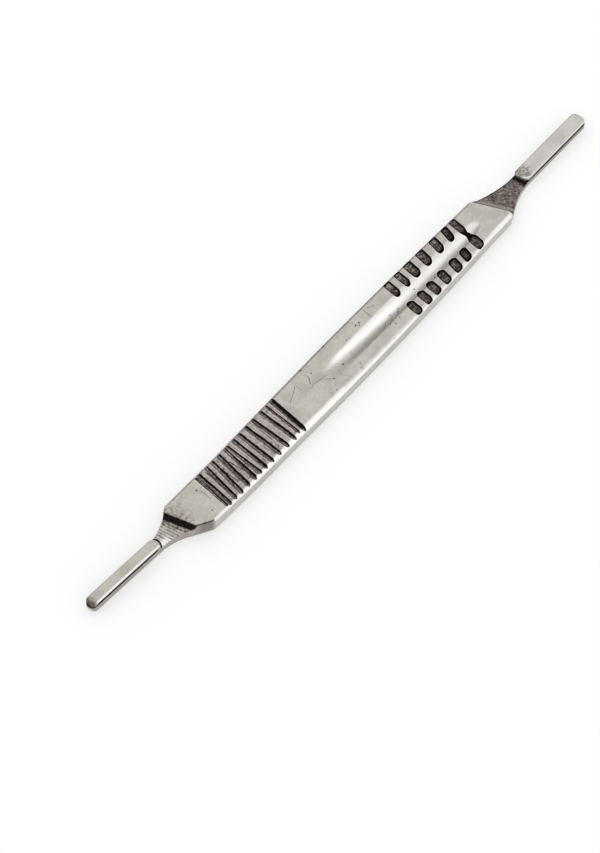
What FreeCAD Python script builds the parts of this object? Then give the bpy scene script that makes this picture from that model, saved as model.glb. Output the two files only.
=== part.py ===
import FreeCAD, Part
import math
import os
import Sketcher

# Double-ended scalpel handle, one piece of steel, millimetres and degrees
# It lies flat on its back face: +X along the length, +Z out of the gripped face
# The origin is the bottom centre of the bounding box

os.makedirs("parts", exist_ok=True)
doc = FreeCAD.newDocument("scalpel_handle")

# Driving dimensions
SIZES = [
    ("tip_reach", 80.0, "from the middle to each tip"),
    ("body_thick", 4.0, "gripped face above the back face"),
    ("edge_bevel", 0.7, "bevel along both long edges, face and back"),

    # Gripped body, seen from above
    ("crest_rise", 0.55, "swell of each long edge at its middle"),
    ("swell_left_x", -38.0, "where the swell starts"),
    ("swell_right_x", 40.0, "where the swell ends"),
    ("half_left", 5.05, "half width left of the swell"),
    ("half_right", 4.87, "half width at the swell's right end"),
    ("half_nose", 4.75, "half width at the right end of the body"),

    # Left end of the body and its neck
    ("left_far_x", -53.8, "far corner of the left end"),
    ("left_cham_x", -55.2, "end of the short corner chamfer"),
    ("left_cham_y", 4.5, "its place across"),
    ("left_far_arc", 12.4, "radius of the far side of the neck"),
    ("left_near_x", -49.6, "near corner of the left end"),
    ("left_diag_x", -54.5, "where the near slant meets the neck"),
    ("left_diag_y", -2.2, "its place across"),
    ("left_near_arc", 12.9, "radius of the near side of the neck"),
    ("left_root_x", -61.0, "root of the left tang"),

    # Right end of the body and its neck
    ("right_far_x", 45.2, "far corner of the right end"),
    ("right_cham_x", 47.6, "end of the far slant"),
    ("right_cham_y", 3.7, "its place across"),
    ("right_far_arc", 22.0, "radius of the far side of the neck"),
    ("right_near_x", 46.6, "near corner of the right end"),
    ("right_diag_x", 50.0, "end of the near slant"),
    ("right_diag_y", -3.2, "its place across"),
    ("right_near_arc", 18.5, "radius of the near side of the neck"),
    ("right_root_x", 58.5, "root of the right tang"),

    # Blade seats milled into both ends
    ("left_wall_x", -54.6, "foot line of the left shoulder on the axis"),
    ("left_wall_lean", 15.0, "slant of the left shoulder"),
    ("left_seat", 2.7, "height of the seat at the shoulder"),
    ("right_wall_x", 46.9, "foot line of the right shoulder on the axis"),
    ("right_wall_lean", 23.0, "slant of the right shoulder"),
    ("right_seat", 2.6, "height of the seat at the shoulder"),
    ("cove", 1.2, "radius at the foot of both shoulders"),

    # Left blade fitting, the narrow one
    ("left_axis_y", 1.2, "tang axis at its root"),
    ("left_turn", 3.1, "how far the tang turns to the far side"),
    ("left_base_half", 1.25, "half width of the tang"),
    ("left_base_top", 1.9, "height that the blade lies on"),
    ("left_ramp", 6.0, "length of the slope from seat to tang"),
    ("left_groove", 0.45, "slot that holds the blade"),
    ("left_undercut", 0.45, "depth of the slot under each edge"),
    ("left_lug_half", 1.35, "half width of the lug"),
    ("left_lug_rise", 0.9, "thickness of the lug"),
    ("left_lug_back", 0.4, "lug behind the tang's root"),
    ("left_lug_short", 0.5, "lug ends before the tip"),
    ("left_lug_bevel", 0.45, "bevel round the lug"),
    ("left_tip_round", 0.8, "corner radius at the tip"),
    ("left_rear_far", 0.9, "rear corner radius, far side"),
    ("left_rear_near", 0.7, "rear corner radius, near side"),

    # Right blade fitting, the wide one
    ("right_axis_y", 0.95, "tang axis at its root"),
    ("right_turn", 0.4, "how far the tang turns to the near side"),
    ("right_base_half", 1.5, "half width of the tang"),
    ("right_base_top", 1.5, "height that the blade lies on"),
    ("right_ramp", 9.0, "length of the slope from seat to tang"),
    ("right_groove", 0.45, "slot that holds the blade"),
    ("right_undercut", 0.5, "depth of the slot under each edge"),
    ("right_lug_half", 1.6, "half width of the lug"),
    ("right_lug_rise", 0.8, "thickness of the lug"),
    ("right_lug_back", 0.9, "lug behind the tang's root"),
    ("right_lug_short", 0.4, "lug ends before the tip"),
    ("right_lug_bevel", 0.2, "bevel round the lug"),
    ("right_tip_round", 0.9, "corner radius at the tip"),
    ("right_rear_far", 0.9, "rear corner radius, far side"),
    ("right_rear_near", 1.9, "rear corner radius, near side"),

    # Grip grooves, filed one by one
    ("rib_depth", 0.45, "depth of each groove"),
    ("rib_slope", 0.6, "run of its left flank"),
    ("rib_steep", 0.4, "run of its right flank"),

    # Long channel and the cross cuts that it splits
    ("channel_deep", 0.8, "depth of the channel"),
    ("channel_wide", 4.0, "width of the channel"),
    ("channel_start", -7.7, "pointed left end"),
    ("channel_full", 8.0, "full depth from here"),
    ("channel_fade", 32.0, "full depth up to here"),
    ("channel_end", 42.3, "pointed right end"),
    ("cut_depth", 0.5, "depth of each cross cut"),
    ("cut_wide", 2.15, "width of each cross cut"),
]

# Each groove: where it crosses the middle, and its lean in degrees
RIBS = [
    (-44.3, 6.3), (-42.3, 8.0), (-40.5, 9.0), (-38.3, 9.0), (-36.4, 8.9), (-35.1, 2.1),
    (-33.2, 4.4), (-31.5, 2.2), (-29.2, 1.9), (-26.7, 1.7), (-24.6, 1.1), (-21.1, 5.5),
]

# Each cross cut, the same way
CUTS = [
    (16.3, 5.3), (19.7, 4.9), (22.9, 6.6), (26.7, 10.0), (30.8, 13.0), (34.4, 16.0), (37.9, 5.7),
]

sheet = doc.addObject("Spreadsheet::Sheet", "Size")
rows = list(SIZES)
for number, (place, lean) in enumerate(RIBS, start=1):
    rows.append((f"rib_{number}_x", place, "grip groove on the axis"))
    rows.append((f"rib_{number}_lean", lean, "its lean"))
for number, (place, lean) in enumerate(CUTS, start=1):
    rows.append((f"cut_{number}_x", place, "cross cut on the axis"))
    rows.append((f"cut_{number}_lean", lean, "its lean"))
for row, (alias, size, note) in enumerate(rows, start=1):
    sheet.set(f"A{row}", alias)
    sheet.set(f"B{row}", str(size))
    sheet.set(f"C{row}", note)
    sheet.setAlias(f"B{row}", alias)
doc.recompute()

body = doc.addObject("PartDesign::Body", "Handle")
body.Label = "handle"
PLANES = {axes.Role: axes for axes in body.Origin.OriginFeatures}


def amount(formula):
    """The value that a formula of the sheet's cells has now."""
    result = sheet.evalExpression(formula)
    return float(getattr(result, "Value", result))


def new_sketch(name, plane, base=("0", "0", "0"), axis=(0, 0, 1), angle="0"):
    """A sketch on an origin plane, moved and turned by formulas."""
    sketch = body.newObject("Sketcher::SketchObject", name)
    sketch.AttachmentSupport = [(PLANES[plane], "")]
    sketch.MapMode = "FlatFace"
    turn = FreeCAD.Rotation(FreeCAD.Vector(*axis), amount(angle))
    move = FreeCAD.Vector(*[amount(formula) for formula in base])
    sketch.AttachmentOffset = FreeCAD.Placement(move, turn)
    for letter, formula in zip("xyz", base):
        sketch.setExpression(f"AttachmentOffset.Base.{letter}", formula)
    sketch.setExpression("AttachmentOffset.Rotation.Angle", f"({angle}) * 1 deg")
    return sketch


def bind(sketch, constraint, formula):
    """Add a constraint whose value follows a formula."""
    number = sketch.addConstraint(constraint)
    sketch.setExpression(f"Constraints[{number}]", formula)


def arc_between(start, end, radius, hollow):
    """The short arc from start to end; hollow arcs bend to the left of the way."""
    chord = end - start
    middle = (start + end) * 0.5
    height = math.sqrt(max(radius ** 2 - (chord.Length / 2) ** 2, 0))
    side = FreeCAD.Vector(-chord.y, chord.x, 0).normalize()
    centre = middle + side * (height if hollow else -height)
    angles = [math.atan2(p.y - centre.y, p.x - centre.x) for p in (start, end)]
    if not hollow:
        angles.reverse()
    circle = Part.Circle(centre, FreeCAD.Vector(0, 0, 1), radius)
    return Part.ArcOfCircle(circle, angles[0], angles[1])


def outline(sketch, corners):
    """A closed outline of corners (x, y, way to the next corner), gone round clockwise.

    The way is None for a line, or a radius formula: ("out", r) swells out of the outline
    and ("in", r) is hollow.
    """
    points = [FreeCAD.Vector(amount(x), amount(y), 0) for x, y, way in corners]
    ends = []
    for place, (x, y, way) in enumerate(corners):
        start, end = points[place], points[(place + 1) % len(points)]
        if way is None:
            edge = sketch.addGeometry(Part.LineSegment(start, end))
            ends.append((edge, 1, 2))
        else:
            hollow = way[0] == "in"
            edge = sketch.addGeometry(arc_between(start, end, amount(way[1]), hollow))
            ends.append((edge, 1, 2) if hollow else (edge, 2, 1))
    for place, (edge, first, last) in enumerate(ends):
        after, after_first, after_last = ends[(place + 1) % len(ends)]
        sketch.addConstraint(Sketcher.Constraint("Coincident", edge, last, after, after_first))
    for (x, y, way), (edge, first, last), point in zip(corners, ends, points):
        bind(sketch, Sketcher.Constraint("DistanceX", -1, 1, edge, first, point.x), x)
        bind(sketch, Sketcher.Constraint("DistanceY", -1, 1, edge, first, point.y), y)
        if way is not None:
            bind(sketch, Sketcher.Constraint("Radius", edge, amount(way[1])), way[1])
    return sketch


def pad(name, sketch, formula):
    """Raise a sketch by a formula."""
    feature = body.newObject("PartDesign::Pad", name)
    feature.Profile = sketch
    feature.setExpression("Length", formula)
    doc.recompute()
    return feature


def cut_across(name, sketch):
    """Cut a sketch's shape right across the handle."""
    before = body.Shape.Volume
    feature = body.newObject("PartDesign::Pocket", name)
    feature.Profile = sketch
    feature.Midplane = True
    feature.setExpression("Length", "Size.half_left * 12")
    doc.recompute()
    if not body.Shape.Volume < before:
        raise ValueError(f"{name} cuts nothing")
    return feature


def across_sketch(name, place, lean):
    """A sketch in the XZ plane at a place on the length, leaned about the upright."""
    return new_sketch(name, "XZ_Plane", (place, "0", "0"), (0, 1, 0), lean)


# Blank: body and necks in one outline, clockwise from the far side of the left root
SWELL_ARC = (
    "((Size.swell_right_x - Size.swell_left_x) ^ 2 / 4 + Size.crest_rise ^ 2)"
    " / (2 * Size.crest_rise)"
)
blank = outline(new_sketch("BlankOutline", "XY_Plane"), [
    ("Size.left_root_x", "Size.left_axis_y + Size.left_base_half", ("in", "Size.left_far_arc")),
    ("Size.left_cham_x", "Size.left_cham_y", None),
    ("Size.left_far_x", "Size.half_left", None),
    ("Size.swell_left_x", "Size.half_left", ("out", SWELL_ARC)),
    ("Size.swell_right_x", "Size.half_right", None),
    ("Size.right_far_x", "Size.half_nose", None),
    ("Size.right_cham_x", "Size.right_cham_y", ("in", "Size.right_far_arc")),
    ("Size.right_root_x", "Size.right_axis_y + Size.right_base_half", None),
    ("Size.right_root_x", "Size.right_axis_y - Size.right_base_half", ("in", "Size.right_near_arc")),
    ("Size.right_diag_x", "Size.right_diag_y", None),
    ("Size.right_near_x", "-Size.half_nose", None),
    ("Size.swell_right_x", "-Size.half_right", ("out", SWELL_ARC)),
    ("Size.swell_left_x", "-Size.half_left", None),
    ("Size.left_near_x", "-Size.half_left", None),
    ("Size.left_diag_x", "Size.left_diag_y", ("in", "Size.left_near_arc")),
    ("Size.left_root_x", "Size.left_axis_y - Size.left_base_half", None),
])
pad("Blank", blank, "Size.body_thick")


def is_long_edge(edge):
    """A level edge of the blank that runs along one of its two long sides."""
    box = edge.BoundBox
    narrowest = min(amount(f"Size.half_{place}") for place in ("left", "right", "nose"))
    nearest = min(abs(box.YMin), abs(box.YMax))
    return box.ZLength < 0.01 and box.YMin * box.YMax > 0 and nearest > narrowest - 0.01


def bevel(name, feature, wanted, formula):
    """Bevel the chosen edges or faces of the last feature."""
    dress = body.newObject("PartDesign::Chamfer", name)
    dress.Base = (feature, wanted)
    dress.setExpression("Size", formula)
    doc.recompute()
    return dress


long_edges = [f"Edge{n}" for n, edge in enumerate(body.Shape.Edges, start=1) if is_long_edge(edge)]
bevel("LongBevels", body.Tip, long_edges, "Size.edge_bevel")


def seat(side, angle):
    """Mill the blade seat: shoulder, cove, slope and the level over the tang."""
    sketch = across_sketch(f"{side}SeatProfile", f"Size.{side}_wall_x", angle)
    outline(sketch, [
        ("0", "Size.body_thick * 2", None),
        ("Size.tip_reach", "Size.body_thick * 2", None),
        ("Size.tip_reach", f"Size.{side}_base_top", None),
        (f"Size.{side}_ramp", f"Size.{side}_base_top", None),
        ("Size.cove", f"Size.{side}_seat", ("out", "Size.cove")),
        ("0", f"Size.{side}_seat + Size.cove", None),
    ])
    cut_across(f"{side}Seat", sketch)


seat("left", "180 + Size.left_wall_lean")
seat("right", "Size.right_wall_lean")


def rounded_bar(sketch, back, reach, half, tip, rear_up=None, rear_down=None):
    """A bar from back to reach along the sketch's x, with round corners."""
    corners = [(f"{back} + {rear_up}" if rear_up else back, half, None)]
    corners += [
        (f"{reach} - {tip}", half, ("out", tip)),
        (reach, f"{half} - {tip}", None),
        (reach, f"{tip} - {half}", ("out", tip)),
        (f"{reach} - {tip}", f"-({half})", None),
    ]
    if rear_down:
        corners += [
            (f"{back} + {rear_down}", f"-({half})", ("out", rear_down)),
            (back, f"{rear_down} - {half}", None),
            (back, f"{half} - {rear_up}", ("out", rear_up)),
        ]
    else:
        corners.append((back, f"-({half})", None))
    return outline(sketch, corners)


def fitting(side, angle, up, down):
    """One blade fitting: tang, the narrow stem of the slot, and the lug over it."""
    size = f"Size.{side}_"
    turn = f"{size}turn"
    half = f"{size}base_half"
    tip = f"{size}tip_round"
    run = f"(Size.tip_reach - abs({size}root_x))"
    reach = f"(({run} - {tip} - ({half} - {tip}) * sin({turn} * 1 deg)) / cos({turn} * 1 deg) + {tip})"
    root = (f"{size}root_x", f"{size}axis_y")

    def plan(name, height):
        return new_sketch(f"{side}{name}", "XY_Plane", (*root, height), (0, 0, 1), angle)

    tang = rounded_bar(plan("TangOutline", "0"), f"-{size}ramp / 3", reach, half, tip)
    pad(f"{side}Tang", tang, f"{size}base_top")

    back = f"-{size}lug_back"
    lug_reach = f"({reach} - {size}lug_short)"
    stem = rounded_bar(
        plan("StemOutline", f"{size}base_top - {size}groove"),
        f"({back} + {size}undercut)", f"({lug_reach} - {size}undercut)",
        f"({size}lug_half - {size}undercut)", f"({tip} / 2)", f"({tip} / 2)", f"({tip} / 2)",
    )
    pad(f"{side}Stem", stem, f"{size}groove * 2.5")
    lug = rounded_bar(
        plan("LugOutline", f"{size}base_top + {size}groove"),
        back, lug_reach, f"{size}lug_half", tip, f"{size}rear_{up}", f"{size}rear_{down}",
    )
    pad(f"{side}Lug", lug, f"{size}lug_rise")

    level = amount(f"{size}base_top + {size}groove + {size}lug_rise")
    top = [
        f"Face{n}" for n, face in enumerate(body.Shape.Faces, start=1)
        if face.BoundBox.ZLength < 0.001 and abs(face.BoundBox.ZMax - level) < 0.001
    ]
    bevel(f"{side}LugBevel", body.Tip, top, f"{size}lug_bevel")


fitting("left", "180 - Size.left_turn", "near", "far")
fitting("right", "-Size.right_turn", "far", "near")

# Grip grooves: a crooked V filed across the face, open at both edges
for number in range(1, len(RIBS) + 1):
    vee = across_sketch(f"RibProfile{number}", f"Size.rib_{number}_x", f"-Size.rib_{number}_lean")
    outline(vee, [
        ("-Size.rib_slope * 2", "Size.body_thick + Size.rib_depth", None),
        ("Size.rib_steep * 2", "Size.body_thick + Size.rib_depth", None),
        ("0", "Size.body_thick - Size.rib_depth", None),
    ])
    cut_across(f"Rib{number}", vee)

# Cross cuts: a round cutter taken right across, deep enough to bite
CUT_ROUND = "((Size.cut_wide ^ 2 / 4 + Size.cut_depth ^ 2) / (2 * Size.cut_depth))"
for number in range(1, len(CUTS) + 1):
    disc = across_sketch(f"CutProfile{number}", f"Size.cut_{number}_x", f"-Size.cut_{number}_lean")
    edge = disc.addGeometry(Part.Circle(FreeCAD.Vector(0, amount("Size.body_thick"), 0),
                                        FreeCAD.Vector(0, 0, 1), amount(CUT_ROUND)))
    centre = f"Size.body_thick - Size.cut_depth + {CUT_ROUND}"
    bind(disc, Sketcher.Constraint("DistanceY", -1, 1, edge, 3, amount(centre)), centre)
    bind(disc, Sketcher.Constraint("Radius", edge, amount(CUT_ROUND)), CUT_ROUND)
    disc.addConstraint(Sketcher.Constraint("PointOnObject", edge, 3, -2))
    cut_across(f"Cut{number}", disc)

# Channel: a round wheel run along the handle, eased in and out on two long arcs
WHEEL = "((Size.channel_wide ^ 2 / 4 + Size.channel_deep ^ 2) / (2 * Size.channel_deep))"
FLOOR = f"(Size.body_thick - Size.channel_deep + {WHEEL})"


def ease(length):
    """Radius of the arc that climbs the channel's depth over a length."""
    return f"(({length} ^ 2 + Size.channel_deep ^ 2) / (2 * Size.channel_deep))"


def climb(length):
    """Height reached on that arc a little past its end, clear of the face."""
    return f"({ease(length)} - sqrt({ease(length)} ^ 2 - ({length} * 1.1) ^ 2))"


IN_RUN = "(Size.channel_full - Size.channel_start)"
OUT_RUN = "(Size.channel_end - Size.channel_fade)"
START = (f"(Size.channel_full - {IN_RUN} * 1.1)", f"({FLOOR} + {climb(IN_RUN)})")
STOP = (f"(Size.channel_fade + {OUT_RUN} * 1.1)", f"({FLOOR} + {climb(OUT_RUN)})")

path = new_sketch("ChannelPath", "XZ_Plane")
stations = [START, ("Size.channel_full", FLOOR), ("Size.channel_fade", FLOOR), STOP]
points = [FreeCAD.Vector(amount(x), amount(z), 0) for x, z in stations]
ways = [ease(IN_RUN), None, ease(OUT_RUN)]
for place, way in enumerate(ways):
    if way is None:
        path.addGeometry(Part.LineSegment(points[place], points[place + 1]))
    else:
        path.addGeometry(arc_between(points[place], points[place + 1], amount(way), True))
for place in range(2):
    path.addConstraint(Sketcher.Constraint("Coincident", place, 2, place + 1, 1))
for place, (x, z) in enumerate(stations):
    edge, vertex = (place, 1) if place < 3 else (2, 2)
    bind(path, Sketcher.Constraint("DistanceX", -1, 1, edge, vertex, points[place].x), x)
    bind(path, Sketcher.Constraint("DistanceY", -1, 1, edge, vertex, points[place].y), z)
for edge in (0, 2):
    bind(path, Sketcher.Constraint("Radius", edge, amount(ways[edge])), ways[edge])

wheel = new_sketch(
    "ChannelWheel", "YZ_Plane", ("0", START[1], START[0]), (1, 0, 0),
    f"asin({IN_RUN} * 1.1 / {ease(IN_RUN)}) / 1 deg",
)
rim = wheel.addGeometry(Part.Circle(FreeCAD.Vector(), FreeCAD.Vector(0, 0, 1), amount(WHEEL)))
wheel.addConstraint(Sketcher.Constraint("Coincident", rim, 3, -1, 1))
bind(wheel, Sketcher.Constraint("Radius", rim, amount(WHEEL)), WHEEL)
before = body.Shape.Volume
channel = body.newObject("PartDesign::SubtractivePipe", "Channel")
channel.Profile = wheel
channel.Spine = (path, ["Edge1", "Edge2", "Edge3"])
doc.recompute()
print("channel takes", round(before - body.Shape.Volume, 2), "cubic millimetres")

for item in doc.Objects:
    if "Invalid" in item.State or "Error" in item.State:
        raise ValueError(f"{item.Name} did not compute: {item.State}")
if body.Shape.isNull() or not body.Shape.isValid() or len(body.Shape.Solids) != 1:
    raise ValueError("the handle is not one valid solid")
body.Shape.exportStep(f"parts/{body.Label}.step")
box = body.Shape.BoundBox
print("box", [round(v, 3) for v in (box.XMin, box.XMax, box.YMin, box.YMax, box.ZMin, box.ZMax)])
print("volume", round(body.Shape.Volume, 1), "faces", len(body.Shape.Faces))
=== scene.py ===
"""Looks of a double-ended scalpel handle, laid out as a Blender add-on and run as a script.

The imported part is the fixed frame. The steel skin of the handle is one fine mesh whose rows
follow the leaned grooves, and two node trees file the grip grooves and mill the cross cuts
into it. The lugs of both blade fittings are meshes of their own, set on the tangs.
"""

import math

import bmesh
import bpy
import numpy as np
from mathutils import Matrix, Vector


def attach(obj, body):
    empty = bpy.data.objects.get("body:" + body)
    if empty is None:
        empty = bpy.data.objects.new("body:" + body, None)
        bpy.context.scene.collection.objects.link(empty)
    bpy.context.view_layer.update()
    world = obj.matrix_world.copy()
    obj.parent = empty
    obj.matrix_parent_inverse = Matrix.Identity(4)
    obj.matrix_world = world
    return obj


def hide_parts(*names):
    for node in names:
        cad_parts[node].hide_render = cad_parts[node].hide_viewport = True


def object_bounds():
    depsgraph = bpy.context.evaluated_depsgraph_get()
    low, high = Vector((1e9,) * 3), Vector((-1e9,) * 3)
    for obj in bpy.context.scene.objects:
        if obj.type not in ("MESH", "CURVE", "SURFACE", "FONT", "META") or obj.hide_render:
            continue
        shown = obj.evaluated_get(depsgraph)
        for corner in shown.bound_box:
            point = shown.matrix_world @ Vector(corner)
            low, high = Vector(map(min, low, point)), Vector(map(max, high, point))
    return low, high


bl_info = {
    "name": "Scalpel Handle",
    "version": (1, 0, 0),
    "blender": (4, 5, 0),
    "location": "View3D > Sidebar > Scalpel Handle",
    "description": "Builds a worn double-ended scalpel handle with filed grooves and split cuts",
    "category": "Object",
}

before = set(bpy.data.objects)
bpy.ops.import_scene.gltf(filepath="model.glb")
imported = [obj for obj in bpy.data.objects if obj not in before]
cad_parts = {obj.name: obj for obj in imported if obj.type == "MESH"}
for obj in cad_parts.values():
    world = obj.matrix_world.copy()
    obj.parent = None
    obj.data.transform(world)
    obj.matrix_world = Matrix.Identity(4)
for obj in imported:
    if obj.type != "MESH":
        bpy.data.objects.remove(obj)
CAD_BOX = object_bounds()
MM = 0.001
NODE = "handle"
TIP_X = CAD_BOX[1][0] / MM

# Long outlines of the handle from the left root to the right root, in millimetres: x, distance
# out from the axis, and radius of the arc to the next corner (hollow above 0, swelling below 0)
SWELL = -1530.0
FAR_RUNS = [
    (-61.0, 2.5, 12.4), (-55.25, 4.24, 0), (-53.7, 5.17, 0), (-38.0, 5.06, SWELL),
    (40.0, 4.93, 0), (46.05, 4.86, 0), (47.1, 4.16, 37.0), (58.5, 2.6, 0),
]
NEAR_RUNS = [
    (-61.0, 0.0, 12.9), (-54.5, 2.12, 0), (-49.8, 4.94, 0), (-44.0, 5.16, 0), (-38.0, 5.29, 0),
    (-24.0, 5.36, -1290.0), (40.0, 4.68, 0), (47.95, 4.54, 0), (50.75, 3.22, 20.0), (58.5, 0.74, 0),
]

# Tangs: root x, axis y at the root, turn in degrees, half width, round of the tip
LEFT_TANG = {"root": -61.0, "axis": 1.19, "turn": 3.1, "half": 1.16, "tip": 0.8}
RIGHT_TANG = {"root": 58.5, "axis": 0.945, "turn": 0.0, "half": 1.66, "tip": 1.15}

# Blade seats: foot of the shoulder on the axis, its slant, seat height, length of the slope to
# the tang, height of the tang
LEFT_SEAT = {"wall": -54.05, "slant": 196.0, "seat": 2.7, "ramp": 6.0, "tang": 1.9}
RIGHT_SEAT = {"wall": 47.05, "slant": 23.0, "seat": 2.6, "ramp": 9.0, "tang": 1.5}
COVE = 1.2

# Lugs: behind the root, short of the tip, half width, heights of the underside and the top, bevel,
# rear corner rounds on the far and the near side; how far the underside comes down at the tip (lip)
# and the slot closes at the near rear corner (heel); length and drop of the rounded nose; and how
# much of each part is stained and given painted shade, and worn bright with painted highlights
LEFT_LUG = {
    "back": 0.25, "short": 0.1, "half": 1.27, "under": 2.42, "top": 3.25, "bevel": 0.3,
    "far": 1.35, "near": 0.45, "lip": 0.5, "heel": 0.0, "nose": 1.5, "nose drop": 0.5,
    "nose film": 0.66, "far film": 0.0, "smudge": 0.0, "bright rear": 0.0, "near rub": 0.9,
    "far rub": 0.7, "top rub": 0.0,
}
RIGHT_LUG = {
    "back": 0.72, "short": 0.3, "half": 1.74, "under": 2.0, "top": 2.75, "bevel": 0.22,
    "far": 0.9, "near": 2.3, "lip": 0.0, "heel": 0.9, "nose": 0.7, "nose drop": 0.04,
    "nose film": 0.16, "far film": 0.3, "smudge": 0.3, "bright rear": 1.0, "near rub": 0.55,
    "far rub": 0.0, "top rub": 0.12,
}
UNDERCUT = 0.55
STEM_HIGH = 0.75

# Points round each corner of a lug, steps along its long and its short sides, least corner round
CORNER_POINTS, LONG_STEPS, SHORT_STEPS, LEAST_ROUND = 9, 60, 6, 0.05

# Grip grooves: place on the axis, lean in degrees, share of the full depth
GROOVES = [
    (-45.3, 5.6, 0.45), (-44.4, 5.4, 1.0), (-42.4, 9.4, 1.0), (-40.6, 9.0, 1.0), (-38.5, 8.7, 1.0),
    (-36.5, 7.4, 0.95), (-35.3, 0.6, 0.85), (-33.45, 3.5, 1.0), (-31.55, 2.3, 1.0),
    (-29.3, 1.8, 1.0), (-26.95, 0.3, 1.0), (-24.6, 1.4, 1.0), (-22.9, 2.6, 0.62),
    (-21.3, 6.3, 1.25),
]

# Cross cuts: place on the axis, lean in degrees, shares of the full depth, and of the full width in
# the far row and in the near row
CUTS = [
    (16.3, 5.3, 1.0, 0.93, 0.97), (19.7, 4.9, 1.0, 0.85, 0.97), (22.9, 6.6, 1.0, 1.12, 1.02),
    (26.7, 10.0, 1.0, 1.12, 1.08), (30.8, 13.0, 0.95, 1.08, 1.15), (34.4, 16.0, 0.78, 0.93, 1.08),
    (37.9, 5.7, 1.1, 0.9, 1.12),
]

# Channel: pointed start, full depth from, full depth to, pointed end, and its middle off the axis
CHANNEL = (-8.7, 8.0, 32.0, 42.3)
CHANNEL_Y = -0.2
CHANNEL_BLUNT = 0.22

# Underside of both tips: length, height and depth of its rounding
TIP_LONG, TIP_HIGH, TIP_BACK = 2.0, 0.8, 0.4

# Channel looked for up to this x; rounds that find a leaned row's side; run of a bevel's fade
CHANNEL_ENDS, CROSSING_ROUNDS, BEVEL_FADE = 45, 25, 0.35

# Rows keep their lean this far round a groove, one with a near neighbour, and a cut; how near
GROOVE_HOLD, CLOSE_HOLD, CUT_HOLD, CLOSE_GAP = 0.45, 0.12, 1.1, 1.6

# Points across the face and the back, over a long bevel, down a side, round the lower edge
FACE_POINTS, BACK_POINTS, BEVEL_POINTS, SIDE_POINTS, EDGE_POINTS = 63, 15, 7, 6, 4

# Curve of a groove's flanks and of a cut's floor; fineness of their wander and of the chatter;
# how far the seeds of the cuts lie from those of the grooves; height of the ridges on the left neck
GROOVE_CURVE, CUT_CURVE = 1.7, 3.3
GROOVE_WANDER, CUT_WANDER, CHATTER = 190.0, 500.0, 900.0
CUT_SEEDS = 40
RIDGE_HIGH = 0.03

# Marks lie only on the gripped side, above this height; deepest grain of the steel; sharp angle
MARKS_ABOVE = 1.2
GRAIN_DEEP = 0.012
SHARP_DEGREES = 32.0

# Masks that the steel reads, each with its plain value
MASKS = {"film": 0, "coarse": 0, "even": 0, "rub": 0, "grip": 0, "along": 0, "across": 0,
         "groove": -1, "flank": 0, "cut": -1}

# Scratches in the face and the grip, in millimetres: from, to, width
SCRATCHES = [
    ((-18.9, 1.4), (-15.5, 3.0), 0.17), ((-15.0, 3.3), (-15.1, 1.5), 0.12),
    ((-12.8, 1.1), (-11.7, 2.5), 0.24), ((-11.7, 2.5), (-11.8, 3.7), 0.16),
    ((-11.7, 0.5), (-8.5, -0.2), 0.14), ((-8.5, -1.9), (-9.9, -0.4), 0.12),
    ((8.5, 4.6), (8.2, 2.1), 0.2), ((-2.7, -4.9), (-3.0, -4.4), 0.22),
    ((-7.6, -3.6), (-6.9, -4.4), 0.14), ((-42.7, 3.9), (-43.1, -2.7), 0.24),
    ((-40.0, 2.6), (-40.2, -2.7), 0.26), ((-37.8, 1.8), (-37.4, -2.0), 0.26),
    ((-38.6, 4.4), (-39.7, -2.8), 0.2), ((-31.0, 4.4), (-31.4, 0.4), 0.16),
    ((-27.6, 4.2), (-28.2, -1.5), 0.16), ((-52.5, 3.3), (-52.2, 2.1), 0.12),
    ((-51.7, 3.7), (-51.5, 2.4), 0.12), ((-50.4, 3.9), (-50.0, 3.4), 0.12),
    ((-46.6, 2.0), (-46.8, -1.2), 0.12), ((-6.3, -1.2), (-7.0, -2.4), 0.1),
    ((-13.6, 0.2), (-12.2, 0.7), 0.1),
]

# Pits in the face, in millimetres: place and width
PITS = [
    ((-11.6, 4.9), 0.57), ((-3.9, 5.0), 0.49), ((-4.6, -0.9), 0.54), ((-10.4, -4.0), 0.27),
    ((-11.8, -3.6), 0.27), ((-8.6, -1.8), 0.32), ((-10.6, 2.7), 0.3), ((4.3, 3.1), 0.41),
    ((5.5, 3.1), 0.41), ((0.2, 2.2), 0.3), ((1.1, 2.2), 0.3), ((13.0, -1.3), 0.46),
    ((11.4, -0.5), 0.41), ((10.6, -1.9), 0.46), ((9.4, -2.2), 0.35), ((9.2, -1.0), 0.3),
    ((19.8, -0.3), 0.41), ((24.7, -1.9), 0.46), ((-47.2, 2.4), 0.41), ((-48.6, -3.0), 0.35),
    ((12.3, -1.9), 0.3), ((13.9, -0.7), 0.3), ((10.2, -3.0), 0.3), ((8.2, -1.7), 0.27),
    ((11.9, -2.7), 0.27), ((4.9, 2.5), 0.27), ((9.5, 4.0), 0.3), ((10.6, 3.5), 0.27),
    ((-2.2, -3.6), 0.27), ((3.0, -3.9), 0.24),
]


# Sizes and colours that a user would change

def number(name, description, value, **more):
    """A number property that a user can change."""
    return bpy.props.FloatProperty(name=name, description=description, default=value, **more)


def length(name, description, millimetres):
    """A length property that a user can change."""
    return number(name, description, millimetres * MM, unit="LENGTH", precision=5)


def shade(name, description, colour):
    """A colour property that a user can change."""
    return bpy.props.FloatVectorProperty(
        name=name, description=description, default=(*colour, 1.0), subtype="COLOR", size=4,
        min=0.0, max=1.0,
    )


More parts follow.
